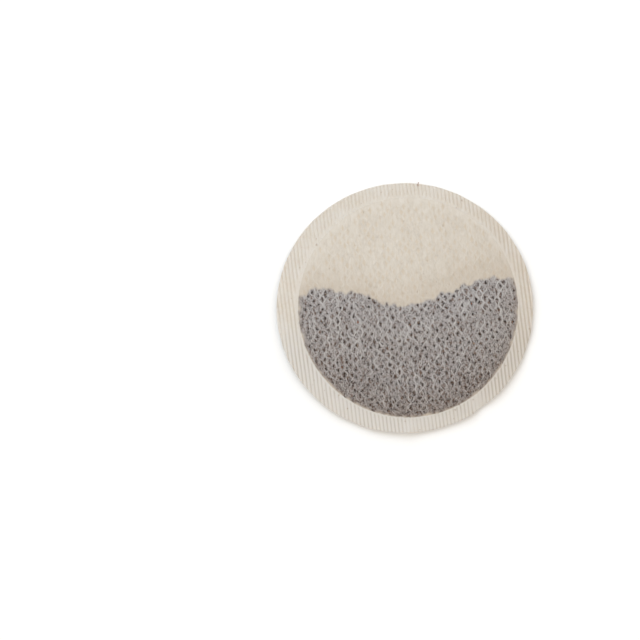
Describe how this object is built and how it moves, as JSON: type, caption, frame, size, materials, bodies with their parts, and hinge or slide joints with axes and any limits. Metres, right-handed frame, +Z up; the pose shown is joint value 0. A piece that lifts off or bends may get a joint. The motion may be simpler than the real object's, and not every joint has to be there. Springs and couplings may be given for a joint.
{
  "type": "round tea bag",
  "caption": "Round flat tea bag of perforated filter paper, heat sealed round a ribbed rim, with its loose tea leaf settled to one side.",
  "frame": {"origin": "middle of the bag's outline, on the surface that it lies on", "axes": "+Z up through the bag, +Y towards its empty half, +X across, along the tea's free edge"},
  "size_m": [0.0706, 0.0688, 0.0057],
  "materials": {
    "paper": "matte, fibrous, slightly translucent",
    "tea": "matte dry leaf, broken small"
  },
  "bodies": {
    "root": {"bottom_paper": "paper", "top_paper": "paper", "tea_fill": "tea"}
  },
  "joints": []
}
